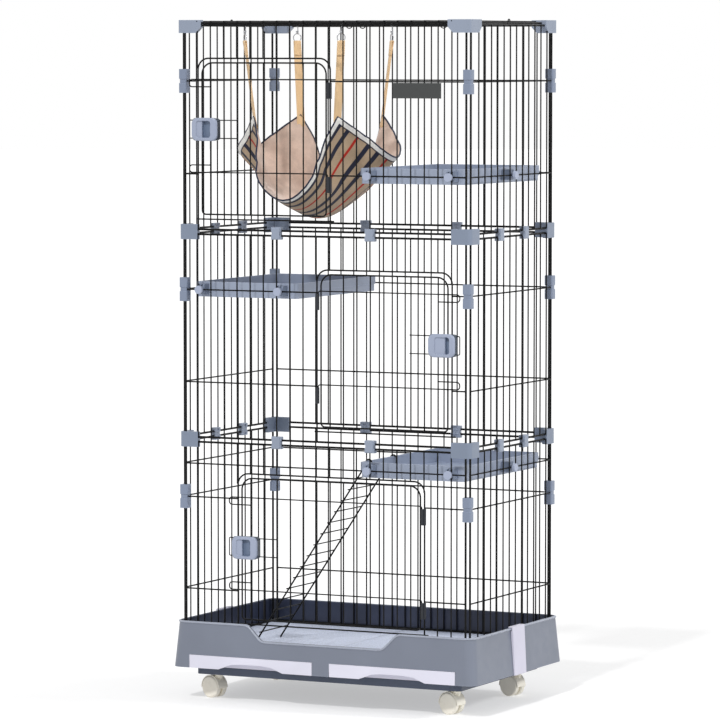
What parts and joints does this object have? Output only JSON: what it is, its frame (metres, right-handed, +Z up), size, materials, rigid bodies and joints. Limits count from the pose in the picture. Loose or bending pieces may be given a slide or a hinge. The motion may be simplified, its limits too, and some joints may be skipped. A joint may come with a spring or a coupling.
{
  "type": "cat cage",
  "caption": "Tall three-tier wire cat cage on casters, with hinged doors and sliding latches, clipped shelves, a ladder, a hammock, and a base tray with drawers.",
  "frame": {"origin": "centre of the cage footprint, on the floor under the casters", "axes": "+Z up, -Y towards the door side (front), +X to the right seen from the front"},
  "size_m": [0.8268, 0.534, 1.6694],
  "materials": {
    "tray_grey": "satin moulded plastic",
    "liner_slate": "matte moulded plastic",
    "floor_pale": "satin",
    "plate_slate": "matte",
    "drawer_white": "semi-gloss",
    "clasp_white": "semi-gloss",
    "caster_ivory": "semi-gloss",
    "wire_black": "semi-gloss black powder coat",
    "hinge_steel": "dark satin",
    "clip_blue": "satin",
    "clip_dark": "satin",
    "shelf_blue": "satin",
    "knob_pale": "satin",
    "plate_charcoal": "matte",
    "hook_chrome": "bright plated",
    "webbing_tan": "woven webbing",
    "cloth_tan": "woven cloth with plush lining"
  },
  "bodies": {
    "cage": {"base_tray": "tray_grey", "tray_liner": "liner_slate", "floor_boards": "floor_pale", "base_plate": "plate_slate", "side_clasps": "clasp_white", "panel_front_1": "wire_black", "panel_front_2": "wire_black", "panel_front_3": "wire_black", "panel_back_1": "wire_black", "panel_back_2": "wire_black", "panel_back_3": "wire_black", "panel_left_1": "wire_black", "panel_left_2": "wire_black", "panel_left_3": "wire_black", "panel_right_1": "wire_black", "panel_right_2": "wire_black", "panel_right_3": "wire_black", "panel_roof": "wire_black", "top_caps": "clip_blue", "tier_corners": "clip_blue", "post_clips": "clip_dark", "rail_clips": "clip_blue", "shelf_low": "shelf_blue", "shelf_mid": "shelf_blue", "shelf_top": "shelf_blue", "shelf_knobs": "knob_pale", "shelf_blocks": "clip_dark", "ladder": "wire_black", "nameplate": "plate_charcoal", "hammock_hooks": "hook_chrome", "strap_fl": "webbing_tan", "strap_fr": "webbing_tan", "strap_bl": "webbing_tan", "strap_br": "webbing_tan", "hammock_cloth": "cloth_tan"},
    "drawer_left_body": {"drawer_left": "drawer_white"},
    "drawer_right_body": {"drawer_right": "drawer_white"},
    "fork_fl": {"caster_fork_fl": "caster_ivory"},
    "fork_fr": {"caster_fork_fr": "caster_ivory"},
    "fork_bl": {"caster_fork_bl": "caster_ivory"},
    "fork_br": {"caster_fork_br": "caster_ivory"},
    "wheels_fl": {"caster_wheels_fl": "caster_ivory"},
    "wheels_fr": {"caster_wheels_fr": "caster_ivory"},
    "wheels_bl": {"caster_wheels_bl": "caster_ivory"},
    "wheels_br": {"caster_wheels_br": "caster_ivory"},
    "door_1_body": {"door_1": "wire_black", "hinges_1": "hinge_steel"},
    "door_2_body": {"door_2": "wire_black", "hinges_2": "hinge_steel"},
    "door_3_body": {"door_3": "wire_black", "hinges_3": "hinge_steel"},
    "latch_1_body": {"latch_1": "clip_blue"},
    "latch_2_body": {"latch_2": "clip_blue"},
    "latch_3_body": {"latch_3": "clip_blue"}
  },
  "joints": [
    {"name": "drawer_left_slide", "type": "slide", "parent": "cage", "child": "drawer_left_body", "axis": [0, -1, 0], "range_m": [0, 0.3]},
    {"name": "drawer_right_slide", "type": "slide", "parent": "cage", "child": "drawer_right_body", "axis": [0, -1, 0], "range_m": [0, 0.3]},
    {"name": "swivel_fl", "type": "hinge", "parent": "cage", "child": "fork_fl", "pos_m": [-0.324, -0.175, 0.07], "axis": [0, 0, 1], "continuous": true},
    {"name": "wheel_fl", "type": "hinge", "parent": "fork_fl", "child": "wheels_fl", "pos_m": [-0.33849, -0.17112, 0.0265], "axis": [-0.2588, -0.9659, 0], "continuous": true},
    {"name": "swivel_fr", "type": "hinge", "parent": "cage", "child": "fork_fr", "pos_m": [0.324, -0.175, 0.07], "axis": [0, 0, 1], "continuous": true},
    {"name": "wheel_fr", "type": "hinge", "parent": "fork_fr", "child": "wheels_fr", "pos_m": [0.30951, -0.17112, 0.0265], "axis": [-0.2588, -0.9659, 0], "continuous": true},
    {"name": "swivel_bl", "type": "hinge", "parent": "cage", "child": "fork_bl", "pos_m": [-0.324, 0.175, 0.07], "axis": [0, 0, 1], "continuous": true},
    {"name": "wheel_bl", "type": "hinge", "parent": "fork_bl", "child": "wheels_bl", "pos_m": [-0.33849, 0.17888, 0.0265], "axis": [-0.2588, -0.9659, 0], "continuous": true},
    {"name": "swivel_br", "type": "hinge", "parent": "cage", "child": "fork_br", "pos_m": [0.324, 0.175, 0.07], "axis": [0, 0, 1], "continuous": true},
    {"name": "wheel_br", "type": "hinge", "parent": "fork_br", "child": "wheels_br", "pos_m": [0.30951, 0.17888, 0.0265], "axis": [-0.2588, -0.9659, 0], "continuous": true},
    {"name": "door_1_hinge", "type": "hinge", "parent": "cage", "child": "door_1_body", "pos_m": [0.27, -0.2425, 0.3897], "axis": [0, 0, 1], "range_deg": [0, 105]},
    {"name": "latch_1_slide", "type": "slide", "parent": "door_1_body", "child": "latch_1_body", "axis": [-1, 0, 0], "range_m": [0, 0.013]},
    {"name": "door_2_hinge", "type": "hinge", "parent": "cage", "child": "door_2_body", "pos_m": [-0.018, -0.2425, 0.8977], "axis": [0, 0, -1], "range_deg": [0, 105]},
    {"name": "latch_2_slide", "type": "slide", "parent": "door_2_body", "child": "latch_2_body", "axis": [1, 0, 0], "range_m": [-0.013, 0]},
    {"name": "door_3_hinge", "type": "hinge", "parent": "cage", "child": "door_3_body", "pos_m": [0.018, -0.2425, 1.4057], "axis": [0, 0, 1], "range_deg": [0, 105]},
    {"name": "latch_3_slide", "type": "slide", "parent": "door_3_body", "child": "latch_3_body", "axis": [-1, 0, 0], "range_m": [0, 0.013]}
  ]
}
